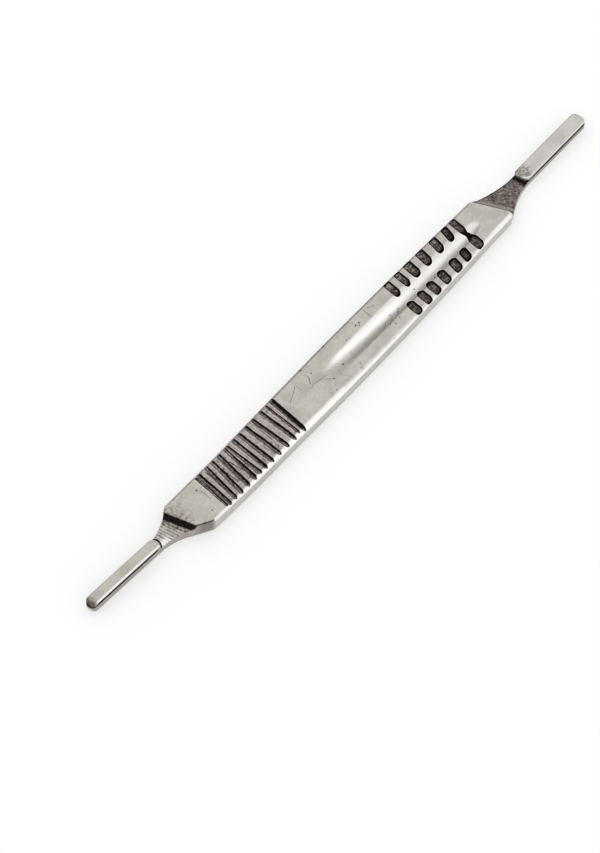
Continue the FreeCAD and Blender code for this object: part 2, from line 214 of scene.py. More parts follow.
class HandleSizes(bpy.types.PropertyGroup):
    """Sizes of the gripped body and of what is filed into it."""

    thick: length("Thickness", "Gripped face above the back face", 4.0)
    bevel: length("Long bevel", "Bevel along both long edges", 0.7)
    neck_bevel: length("Neck bevel", "Broken edge round the necks and tangs", 0.1)
    groove_depth: length("Groove depth", "Depth of each grip groove", 0.45)
    groove_slope: length("Groove left run", "Run of the long left flank", 0.82)
    groove_steep: length("Groove right run", "Run of the steep right flank", 0.42)
    cut_depth: length("Cut depth", "Depth of each cross cut", 0.45)
    cut_wide: length("Cut width", "Width of each cross cut at the face", 2.15)
    channel_deep: length("Channel depth", "Depth of the long channel", 0.65)
    channel_wide: length("Channel width", "Width of the long channel", 4.0)
    wobble: length("Wobble", "How far a groove or a cut strays from its line", 0.12)
    seed: bpy.props.IntProperty(name="Seed", description="Seed of the wobble", default=7)


class SteelLook(bpy.types.PropertyGroup):
    """Colours and wear of the steel."""

    steel: shade("Steel", "Worn satin steel", (0.5, 0.48, 0.44))
    # Greyer steel, also used for the painted glints and sheen on the floor of the cuts
    dull_and_sheen: shade("Dull steel", "Greyer, more worn patches", (0.37, 0.35, 0.31))
    blush: shade("Stained ridges", "Pinkish steel between grooves and cuts", (0.45, 0.395, 0.375))
    # Worn steel, and the colour of the painted highlights in the channel and on edges
    bright: shade("Rubbed_and_highlight steel", "Bright steel in the channel and on edges", (0.9, 0.89, 0.87))
    # The brown and black colours also paint shade: far bevels, shoulder wall, slots, lug stems and
    # steep groove flanks
    rust_and_shade: shade("Brown film", "Thin brown residue", (0.155, 0.125, 0.11))
    scale: shade("Scale", "Black residue in cuts and grooves", (0.008, 0.006, 0.005))
    dark: shade("Cut floor", "Dark floor of the cross cuts", (0.03, 0.023, 0.02))
    brown: shade("Cut speckle", "Light speckle on the floor of the cuts", (0.2, 0.165, 0.14))
    roughness: number("Roughness", "Roughness of the satin steel", 0.42,
                      min=0.0, max=1.0, subtype="FACTOR")


class StudioLook(bpy.types.PropertyGroup):
    """Where the camera stands and how bright the room and the softbox are."""

    distance: length("Camera distance", "Camera from the point it looks at", 600.0)
    elevation: number("Camera elevation", "Camera above the floor, seen from its target",
                      math.radians(58.0), subtype="ANGLE")
    azimuth: number("Camera azimuth", "Turn of the view about the upright",
                    math.radians(50.16), subtype="ANGLE")
    target_x: length("Target x", "Where the camera looks, along the handle", -20.2)
    target_y: length("Target y", "Where the camera looks, across the handle", -2.27)
    room_level: number("Room level", "Light of the white room on the table", 0.93, min=0.0)
    near_level: number("Near level", "How bright metal sees the near side", 1.0, min=0.0)
    far_level: number("Far level", "How bright metal sees the far side", 0.5, min=0.0)
    window_level: number("Window level", "How much brighter the low near side is", 0.25, min=0.0)
    lamp_level: number("Lamp level", "Brightness of the softbox, white being 1", 0.3, min=0.0)
    zoom: number("Lens", "Focal length on a 24 mm high sensor", 81.96, unit="CAMERA")


# Shape of the handle

def slope(degrees):
    """How far a line at this angle goes aside for each millimetre along."""
    return math.tan(math.radians(degrees))


def step_up(value, low, high):
    """0 below low, 1 above high, straight between."""
    return np.clip((value - low) / (high - low), 0, 1)


def between(value, low, full, fade, high):
    """1 from full to fade, falling to 0 at low and at high."""
    return step_up(value, low, full) * (1 - step_up(value, fade, high))


def seat_way(seat, x, y):
    """Distance out from a shoulder, toward its tip."""
    slant = math.radians(seat["slant"])
    return (x - seat["wall"]) * math.cos(slant) + y * math.sin(slant)


def arc_out(start, end, radius, along):
    """Distance out on the arc or line from start to end, at places along the handle."""
    (x0, y0), (x1, y1) = start, end
    if not radius:
        return y0 + (y1 - y0) * (along - x0) / (x1 - x0)
    chord = math.hypot(x1 - x0, y1 - y0)
    rise = math.sqrt(radius ** 2 - (chord / 2) ** 2) * math.copysign(1, radius)
    centre_x = (x0 + x1) / 2 - (y1 - y0) / chord * rise
    centre_y = (y0 + y1) / 2 + (x1 - x0) / chord * rise
    drop = np.sqrt(np.maximum(radius ** 2 - (along - centre_x) ** 2, 0))
    return centre_y - math.copysign(1, radius) * drop


def tang_reach(tang):
    """Length of a tang from its root to its tip, along its own axis."""
    turn = math.radians(abs(tang["turn"]))
    run = TIP_X - abs(tang["root"])
    flat = run - tang["tip"] - (tang["half"] - tang["tip"]) * math.sin(turn)
    return flat / math.cos(turn) + tang["tip"]


def tang_out(tang, along, far):
    """Distance out of a tang's side, at places beyond its root."""
    turn = math.radians(tang["turn"])
    run = np.abs(along - tang["root"])
    middle = tang["axis"] + run * math.tan(turn)
    into_tip = run - (TIP_X - abs(tang["root"]) - tang["tip"])
    short = tang["tip"] - np.sqrt(np.maximum(tang["tip"] ** 2 - np.maximum(into_tip, 0) ** 2, 0))
    half = tang["half"] / math.cos(turn) - short
    return middle + half if far else half - middle


def side_out(runs, along, far):
    """Distance out from the axis of one long side, from tip to tip."""
    out = np.zeros_like(along)
    for (x0, y0, radius), (x1, y1, _) in zip(runs, runs[1:]):
        inside = (along >= x0) & (along <= x1)
        out[inside] = arc_out((x0, y0), (x1, y1), radius, along[inside])
    for tang, beyond in (
        (LEFT_TANG, along < LEFT_TANG["root"]), (RIGHT_TANG, along > RIGHT_TANG["root"]),
    ):
        out[beyond] = tang_out(tang, along[beyond], far)
    return out


def seat_height(seat, thick, x, y):
    """Height of the steel under one milled seat; the full thickness on the body."""
    out = seat_way(seat, x, y)
    edge = thick - seat["seat"] - COVE
    over = np.clip(out, -edge, 0) + edge
    rounded = thick - edge + np.sqrt(np.maximum(edge ** 2 - over ** 2, 0))
    inside = np.clip(COVE - out, 0, COVE)
    cove = seat["seat"] + COVE - np.sqrt(np.maximum(COVE ** 2 - inside ** 2, 0))
    share = np.clip((out - COVE) / (seat["ramp"] - COVE), 0, 1)
    fall = seat["seat"] + (seat["tang"] - seat["seat"]) * share
    height = np.where(out < COVE, cove, fall)
    return np.where(out <= 0, np.where(out < -edge, thick, rounded), height)


def channel_height(thick, deep, wide, x, y):
    """Height of the channel's floor; above the steel where there is no channel."""
    start, full, fade, end = CHANNEL
    ending = np.where(x > fade, (x - fade) / (end - fade), 0)
    into = np.where(x < full, (full - x) / (full - start), ending)
    share = np.clip(1 - into ** 2, 1e-4, 1)
    half = wide / 2 * np.where(x < full, share ** CHANNEL_BLUNT, share ** 0.5)
    return thick - deep * share * (1 - ((y - CHANNEL_Y) / half) ** 2)


def soft_min(a, b, blend):
    """The lower of two heights, eased over a short blend."""
    share = np.clip(0.5 + 0.5 * (b - a) / blend, 0, 1)
    return b * (1 - share) + a * share - blend * share * (1 - share)


def row_leans(rows):
    """Lean of each row across the handle, as x over y, matched to what is cut there."""
    places = [groove[0] for groove in GROOVES]
    gaps = np.diff([places[0] - 2, *places, places[-1] + 2])
    holds = [GROOVE_HOLD if min(pair) > CLOSE_GAP else CLOSE_HOLD for pair in zip(gaps, gaps[1:])]
    left, right = LEFT_SEAT["wall"], RIGHT_SEAT["wall"]
    held = [
        (-90.0, -90.0, LEFT_TANG["turn"]), (-61.5, -61.5, 0.0),
        (left - 1.6, left + 0.5, 180 - LEFT_SEAT["slant"]),
        *[(place - hold, place + hold, lean) for (place, lean, _), hold in zip(GROOVES, holds)],
        (-12.0, 10.0, 0.0),
        *[(cut[0] - CUT_HOLD, cut[0] + CUT_HOLD, cut[1]) for cut in CUTS],
        (right - 0.5, right + 1.6, -RIGHT_SEAT["slant"]), (56.0, 90.0, 0.0),
    ]
    keys = [(x, slope(lean)) for first, last, lean in held for x in (first, last)]
    return np.interp(rows, *zip(*keys))


def row_places():
    """Places of the rows along the handle: close where something is cut, wide elsewhere."""
    spans = [
        (-TIP_X, -78.6, 0.07), (-78.6, -61.5, 0.5), (-61.5, -56.4, 0.11), (-56.4, -53.4, 0.09),
        (-53.4, -46.0, 0.35), (-46.0, -19.6, 0.1), (-19.6, -8.0, 0.6), (-8.0, 14.4, 0.35),
        (14.4, 40.2, 0.13), (40.2, 45.6, 0.3), (45.6, 49.4, 0.09), (49.4, 60.0, 0.22),
        (60.0, 78.6, 0.6), (78.6, TIP_X, 0.07),
    ]
    rows = [
        np.linspace(a, b, max(2, round((b - a) / step)), endpoint=False) for a, b, step in spans
    ]
    beside = np.array([-0.1, -0.05, 0.0, 0.004, 0.012, 0.03, 0.06, 0.1])
    for seat, way in ((LEFT_SEAT, -1), (RIGHT_SEAT, 1)):
        rows.append(seat["wall"] + way * beside)
    rows.append(np.array([TIP_X]))
    rows = np.unique(np.round(np.concatenate(rows), 4))
    return rows[np.concatenate([[True], np.diff(rows) > 0.0035])]


def crossing(runs, rows, leans, middles, far):
    """Where each leaned row meets one long side: x, and distance out from the axis."""
    sign = 1 if far else -1
    out = side_out(runs, rows, far)
    for _ in range(CROSSING_ROUNDS):
        x = np.clip(rows + leans * (sign * out - middles), -TIP_X, TIP_X)
        out = side_out(runs, x, far)
    return x, out


def handle_rows(sizes):
    """Rows of the skin, and the columns round it: each one's kind, its y, and its drop."""
    bevel, neck_bevel = sizes.bevel / MM, sizes.neck_bevel / MM
    rows = row_places()
    leans = row_leans(rows)
    middles = np.interp(rows, [-61.0, -50.0, 44.0, 58.5], [1.2, 0.0, 0.0, 0.95])
    middles += np.maximum(LEFT_TANG["root"] - rows, 0) * slope(LEFT_TANG["turn"])
    middles += np.maximum(rows - RIGHT_TANG["root"], 0) * slope(RIGHT_TANG["turn"])
    far_x, far_out = crossing(FAR_RUNS, rows, leans, middles, True)
    near_x, near_out = crossing(NEAR_RUNS, rows, leans, middles, False)

    # Bevel: full along the body, a broken edge on the necks, rounder through the middle
    def edge_sizes(x, first, last):
        body = np.clip((x - first) / BEVEL_FADE, 0, 1) * np.clip((last - x) / BEVEL_FADE, 0, 1)
        return neck_bevel + (bevel - neck_bevel) * body

    far_bevel = edge_sizes(far_x, -53.9, 46.0)
    near_bevel = edge_sizes(near_x, -50.2, 49.5)
    near_bevel *= np.interp(rows, [-46, 0, 36, 44], [0.74, 0.66, 0.8, 1.0])
    near_wide = near_bevel * np.interp(
        rows, [-50, -44, -20, -10, 4, 36, 46], [1.0, 1.15, 2.6, 2.6, 2.1, 1.6, 1.2],
    )
    soft = np.interp(rows, [-48, -20, 0, 36, 42], [0.15, 0.45, 0.8, 0.75, 0.0])

    def rounded(kind, way, edge, wide, deep, turns):
        """Columns over one long bevel, from a flat bevel to a quarter round."""
        for turn in turns:
            out = turn * (1 - soft) + math.sin(turn * math.pi / 2) * soft
            down = turn * (1 - soft) + (1 - math.cos(turn * math.pi / 2)) * soft
            yield kind, way * (edge - wide * (1 - out)), deep * down

    turns, sides, lows = (
        np.linspace(0, 1, count)[1:] for count in (BEVEL_POINTS, SIDE_POINTS, EDGE_POINTS)
    )
    above, below = np.linspace(0, 1, FACE_POINTS), np.linspace(0, 1, BACK_POINTS)[1:-1]
    far_flat, near_flat = far_out - far_bevel, near_bevel - near_out
    near_edge = near_wide - near_out
    columns = [
        *[("face", near_edge + (far_flat - near_edge) * step, 0 * rows) for step in above],
        *rounded("far bevel", 1, far_out, far_bevel, far_bevel, turns),
        *[("side", far_out, step) for step in sides],
        *[("back", far_out - far_bevel * step, far_bevel * (1 - step)) for step in lows],
        *[("back", far_flat + (near_flat - far_flat) * step, 0 * rows) for step in below],
        *[("back", near_bevel * step - near_out, near_bevel * (1 - step)) for step in lows[::-1]],
        ("back", -near_out, near_bevel),
        *[("side", -near_out, step) for step in sides[::-1][1:]],
        *rounded("near bevel", -1, near_out, near_wide, near_bevel, turns[::-1]),
    ]
    return rows, leans, middles, far_bevel, near_bevel, columns


def steel_height(sizes, x, y):
    """Height of the gripped face, seats and channel before anything is filed."""
    thick = sizes.thick / MM
    height = np.minimum(seat_height(LEFT_SEAT, thick, x, y), seat_height(RIGHT_SEAT, thick, x, y))
    trough = channel_height(thick, sizes.channel_deep / MM, sizes.channel_wide / MM, x, y)
    worn = 0.06 + 0.22 * np.clip(y / 1.5, 0, 1) + 0.2 * np.clip((4 - x) / 8, 0, 1)
    return np.where(np.abs(x) < CHANNEL_ENDS, soft_min(height, trough, worn), height)


def handle_blank(sizes):
    """The skin before the grooves: rows, points, and what part of the skin each column is."""
    rows, leans, middles, far_bevel, near_bevel, columns = handle_rows(sizes)
    points = np.zeros((len(rows), len(columns), 3))
    for place, (kind, y, drop) in enumerate(columns):
        x = np.clip(rows + leans * (y - middles), -TIP_X, TIP_X)
        if kind == "back":
            z = drop
        elif kind == "side":
            z = steel_height(sizes, x, y)
            edge = np.where(y > 0, far_bevel, near_bevel)
            z = (z - edge) * (1 - drop) + edge * drop
        else:
            z = steel_height(sizes, x, y) - drop
        near_tip = np.clip((np.abs(x) - TIP_X + TIP_LONG) / TIP_LONG, 0, 1) ** 2
        x = x - np.sign(x) * TIP_BACK * (near_tip * np.clip(1 - z / TIP_HIGH, 0, 1))
        points[:, place] = np.stack([x, y, z], axis=-1)
    return rows, points, np.array([kind for kind, _, _ in columns])


def closed_piece(name, points):
    """A closed object at the origin, from rings of points in millimetres that follow each other."""
    rings, count = points.shape[:2]
    faces = []
    for ring in range(rings - 1):
        for place in range(count):
            after = (place + 1) % count
            a, b = ring * count + place, ring * count + after
            faces.append((a, b, b + count, a + count))
    faces.append(tuple(range(count)))
    faces.append(tuple(range((rings - 1) * count, rings * count))[::-1])
    mesh = bpy.data.meshes.new(name)
    mesh.from_pydata((points.reshape(-1, 3) * MM).tolist(), [], faces)
    mesh.validate()
    piece = bpy.data.objects.new(name, mesh)
    bpy.context.scene.collection.objects.link(piece)
    return piece


def store(mesh, name, values):
    """Keep one number, or one vector, for each point of a mesh."""
    values = np.asarray(values, dtype=np.float32)
    vectors = values.size == 3 * len(mesh.vertices)
    layer = mesh.attributes.new(name, "FLOAT_VECTOR" if vectors else "FLOAT", "POINT")
    layer.data.foreach_set("vector" if vectors else "value", values.ravel())


# Node wiring

GEOMETRY, VECTOR, FLOAT = "NodeSocketGeometry", "NodeSocketVector", "NodeSocketFloat"


class Signal:
    """The value of a socket; sums, products and shares of it are Math nodes."""

    def __init__(self, wires, socket):
        self.wires, self.socket = wires, socket

    def __add__(self, other):
        return self.wires.math("ADD", self, other)

    def __sub__(self, other):
        return self.wires.math("SUBTRACT", self, other)

    def __rsub__(self, other):
        return self.wires.math("SUBTRACT", other, self)

    def __mul__(self, other):
        return self.wires.math("MULTIPLY", self, other)

    def __truediv__(self, other):
        return self.wires.math("DIVIDE", self, other)


class Wiring:
    """Short hand for adding and joining the nodes of one tree."""

    def __init__(self, tree):
        self.tree, self.count = tree, 0

    def node(self, kind, inputs=(), **settings):
        """Add a node, set it up, and join or set its first inputs or its named inputs."""
        node = self.tree.nodes.new(kind)
        node.location = (self.count % 12 * 190, -(self.count // 12) * 260)
        self.count += 1
        for name, value in settings.items():
            setattr(node, name, value)
        for key, value in inputs.items() if isinstance(inputs, dict) else enumerate(inputs):
            if isinstance(value, Signal):
                self.tree.links.new(value.socket, node.inputs[key])
            else:
                node.inputs[key].default_value = value
        return node

    def get(self, kind, inputs=(), output=0, **settings):
        """One output of a new node."""
        return Signal(self, self.node(kind, inputs, **settings).outputs[output])

    def math(self, operation, *values, clamp=False):
        """One Math node."""
        return self.get("ShaderNodeMath", values, operation=operation, use_clamp=clamp)

    def plus(self, value, times, offset):
        """A value times another, plus an offset."""
        return self.math("MULTIPLY_ADD", value, times, offset)

    def most(self, first, *others):
        """The largest of some values."""
        for other in others:
            first = self.math("MAXIMUM", first, other)
        return first

    def ramp(self, value, low, high, start=0.0, end=1.0):
        """A smooth step of a value from low to high."""
        return self.get("ShaderNodeMapRange", {
            "Value": value, "From Min": low, "From Max": high, "To Min": start, "To Max": end,
        }, "Result", interpolation_type="SMOOTHSTEP")

    def mix(self, factor, first, second):
        """A blend of two numbers."""
        return self.get("ShaderNodeMix", {0: factor, 2: first, 3: second})

    def tint(self, factor, first, second):
        """A blend of two colours."""
        return self.get("ShaderNodeMix", {0: factor, 6: first, 7: second}, 2, data_type="RGBA")

    def split(self, vector):
        """The three parts of a vector."""
        parts = self.node("ShaderNodeSeparateXYZ", (vector,)).outputs
        return [Signal(self, part) for part in parts]

    def noise(self, vector, scale, detail, roughness=0.5):
        """Smooth noise from 0 to 1."""
        return self.get("ShaderNodeTexNoise", {
            "Vector": vector, "Scale": scale, "Detail": detail, "Roughness": roughness,
        })

    def stored(self, name):
        """A stored number of each point, in a geometry tree."""
        return self.get("GeometryNodeInputNamedAttribute", {"Name": name}, "Attribute",
                        data_type="FLOAT")

    def group(self, tree, inputs):
        """The outputs of one use of a node group, by name."""
        kind = "GeometryNodeGroup" if tree.bl_idname == "GeometryNodeTree" else "ShaderNodeGroup"
        used = self.node(kind, inputs, node_tree=tree)
        return {out.name: Signal(self, out) for out in used.outputs}

    def end(self, kind, shader):
        """The output node of a material or a world."""
        self.node(kind, (shader,))


def new_tree(name, kind, inputs, outputs):
    """A node group; an input is named with its plain value, or with its type where it has none."""
    tree = bpy.data.node_groups.new(name, kind)
    for label, value in inputs.items():
        number_type = "NodeSocketInt" if isinstance(value, int) else FLOAT
        socket = value if isinstance(value, str) else number_type
        entry = tree.interface.new_socket(name=label, in_out="INPUT", socket_type=socket)
        if not isinstance(value, str):
            entry.default_value = value
    for label, socket in outputs.items():
        tree.interface.new_socket(name=label, in_out="OUTPUT", socket_type=socket)
    wires = Wiring(tree)
    given = {socket.name: Signal(wires, socket) for socket in wires.node("NodeGroupInput").outputs}
    leave = wires.node("NodeGroupOutput")

    def out(label, value):
        tree.links.new(value.socket, leave.inputs[label])

    return wires, given, out


def empty_shading(holder):
    """The emptied node tree of a material or a world."""
    holder.use_nodes = True
    holder.node_tree.nodes.clear()
    return Wiring(holder.node_tree)


# Filing and milling

def lower_to(wires, geometry, target, blend, mark, side=None):
    """Lower the steel to a target height, and keep how deep the tool went in, in millimetres."""
    x, y, z = wires.split(wires.get("GeometryNodeInputPosition"))
    bite = (z - target) * (1 / MM)
    kept = wires.stored(mark)
    marks = {}
    if side is not None:
        deeper = wires.math("GREATER_THAN", bite, kept)
        marks["flank"] = wires.mix(deeper, wires.stored("flank"), side)
    marks[mark] = wires.most(bite, kept)
    for name, value in marks.items():
        geometry = wires.get("GeometryNodeStoreNamedAttribute", {
            "Geometry": geometry, "Name": name, "Value": value,
        }, data_type="FLOAT")
    moved = wires.get("ShaderNodeCombineXYZ", (x, y, wires.math("SMOOTH_MIN", z, target, blend)))
    return wires.get("GeometryNodeSetPosition", {"Geometry": geometry, "Position": moved})


def wander(wires, scale, seed):
    """A slow noise along the cut, about zero."""
    place = wires.stored("across") * scale + seed * 17.3
    noise = wires.get("ShaderNodeTexNoise", {"W": place, "Scale": 1.0, "Detail": 2.0},
                      noise_dimensions="1D")
    return noise - 0.5


def groove_tree():
    """One filed groove: a crooked V at a place along the handle."""
    wires, given, out = new_tree("Filed groove", "GeometryNodeTree", {
        "Geometry": GEOMETRY, "Place": 0.0, "Share": 1.0, "Top": 0.004, "Depth": 0.0004,
        "Left run": 0.0006, "Right run": 0.0004, "Wobble": 0.0001, "Seed": 0.0,
    }, {"Geometry": GEOMETRY})
    shift = wander(wires, GROOVE_WANDER, given["Seed"]) * given["Wobble"]
    off = wires.stored("along") - given["Place"] + shift
    left = wires.math("LESS_THAN", off, 0.0)
    run = wires.mix(left, given["Right run"], given["Left run"])
    rise = wires.math("POWER", wires.math("ABSOLUTE", off) / run, GROOVE_CURVE) * given["Depth"]
    vary = wires.plus(wander(wires, CHATTER, given["Seed"]), 0.35, 1.0)
    target = given["Top"] - given["Depth"] * given["Share"] * vary + rise
    out("Geometry", lower_to(wires, given["Geometry"], target, 0.03 * MM, "groove", 1.0 - left))
    return wires.tree


def cut_tree():
    """One milled cross cut: a trough with steep sides and a round floor."""
    wires, given, out = new_tree("Milled cut", "GeometryNodeTree", {
        "Geometry": GEOMETRY, "Place": 0.0, "Share": 1.0, "Far share": 1.0, "Near share": 1.0,
        "Top": 0.004, "Depth": 0.0005, "Width": 0.0021, "Wobble": 0.0001, "Seed": 0.0,
    }, {"Geometry": GEOMETRY})
    shift = wander(wires, CUT_WANDER, given["Seed"]) * given["Wobble"]
    off = wires.stored("along") - given["Place"] + shift
    far = wires.math("GREATER_THAN", wires.stored("across"), 0.0)
    half = given["Width"] * wires.mix(far, given["Near share"], given["Far share"]) * 0.5
    share = wires.math("MINIMUM", wires.math("ABSOLUTE", off) / half, 1.6)
    deep = given["Depth"] * given["Share"]
    target = given["Top"] - deep + deep * wires.math("POWER", share, CUT_CURVE)
    out("Geometry", lower_to(wires, given["Geometry"], target, 0.02 * MM, "cut"))
    return wires.tree


def filing_tree(name, stroke, strokes, shared):
    """A tree that makes one stroke after another, each at its own place and of its own size."""
    wires, given, out = new_tree(name, "GeometryNodeTree", {
        "Geometry": GEOMETRY, **{label: 0.001 for label in shared}, "Seed": 0,
        "Material": "NodeSocketMaterial",
    }, {"Geometry": GEOMETRY})
    flow = given["Geometry"]
    for turn, own in enumerate(strokes):
        sizes = {label: given[label] for label in shared}
        sizes.update(own, Geometry=flow, Seed=given["Seed"] + float(turn))
        flow = wires.group(stroke, sizes)["Geometry"]
    flow = wires.get("GeometryNodeRealizeInstances", (flow,))
    flow = wires.get("GeometryNodeSetMaterial", {"Geometry": flow, "Material": given["Material"]})
    out("Geometry", flow)
    return wires.tree


def file_piece(piece, name, stroke, strokes, shared, **values):
    """Run the strokes on a piece, and keep the result as a plain mesh."""
    tree = filing_tree(name, stroke, strokes, shared)
    modifier = piece.modifiers.new(name, "NODES")
    modifier.node_group = tree
    sockets = {
        item.name: item.identifier
        for item in tree.interface.items_tree if item.in_out == "INPUT"
    }
    for label, value in {**shared, **values}.items():
        modifier[sockets[label]] = value
    graph = bpy.context.evaluated_depsgraph_get()
    seen = piece.evaluated_get(graph)
    mesh = bpy.data.meshes.new_from_object(seen, preserve_all_data_layers=True, depsgraph=graph)
    piece.modifiers.remove(modifier)
    old = piece.data
    piece.data = mesh
    mesh.name = piece.name
    bpy.data.meshes.remove(old)


# Steel

def grain_group():
    """Fine satin grain, mottling, and slow patches of wear."""
    wires, given, out = new_tree("Satin grain", "ShaderNodeTree", {
        "Vector": VECTOR, "Fineness": 7000.0, "Mottle size": 1500.0, "Patch size": 260.0,
    }, {"Grain": FLOAT, "Mottle": FLOAT, "Patches": FLOAT})
    for label, scale, detail, low, high in (
        ("Grain", "Fineness", 2.0, 0.3, 0.7), ("Mottle", "Mottle size", 4.0, 0.36, 0.66),
        ("Patches", "Patch size", 4.0, 0.4, 0.66),
    ):
        out(label, wires.ramp(wires.noise(given["Vector"], given[scale], detail, 0.6), low, high))
    return wires.tree


def hairline_group():
    """Straight hairline scratches that run one way, broken up along their length."""
    wires, given, out = new_tree("Hairlines", "ShaderNodeTree", {
        "Vector": VECTOR, "Angle": 0.0, "Density": 0.5, "Fineness": 3200.0, "Stretch": 0.035,
    }, {"Mask": FLOAT})
    spin = wires.get("ShaderNodeCombineXYZ", (0.0, 0.0, given["Angle"]))
    turned = wires.get("ShaderNodeVectorRotate", {"Vector": given["Vector"], "Rotation": spin},
                       rotation_type="EULER_XYZ")
    squash = wires.get("ShaderNodeCombineXYZ", (given["Stretch"], 1.0, 1.0))
    stretched = wires.get("ShaderNodeVectorMath", (turned, squash), operation="MULTIPLY")
    lines = wires.noise(stretched, given["Fineness"], 2.0)
    uneven = lines + wires.plus(wires.noise(turned, 330.0, 1.0), 0.3, -0.15)
    level = 0.8 - given["Density"] * 0.2
    out("Mask", wires.ramp(uneven, level, level + 0.05))
    return wires.tree


def stripe_group():
    """Fine stripes that a tool leaves along a groove or a cut."""
    wires, given, out = new_tree("Tool stripes", "ShaderNodeTree", {
        "Along": 0.0, "Across": 0.0, "Fineness": 3600.0, "Drift": 160.0,
    }, {"Stripes": FLOAT})
    place = wires.get("ShaderNodeCombineXYZ", (
        given["Along"] * given["Fineness"], given["Across"] * given["Drift"], 0.0,
    ))
    out("Stripes", wires.ramp(wires.noise(place, 1.0, 2.5, 0.6), 0.36, 0.66))
    return wires.tree


def mark_group(name, fineness, ragged, full, pits):
    """Ragged scratches or pits, from where each point lies to its nearest one."""
    wires, given, out = new_tree(name, "ShaderNodeTree", {
        "Vector": VECTOR, "Nearest": VECTOR, "Raggedness": ragged,
    }, {"Mask": FLOAT})
    off, beyond, width = wires.split(given["Nearest"])
    if pits:
        away = wires.math("SQRT", off * off + beyond * beyond)
    else:
        away = wires.math("ABSOLUTE", off) + beyond
    noise = wires.noise(given["Vector"], fineness, 1.0)
    share = away / (width * wires.plus(noise - 0.5, given["Raggedness"], 0.5))
    out("Mask", wires.ramp(share, 1.1, full))
    return wires.tree


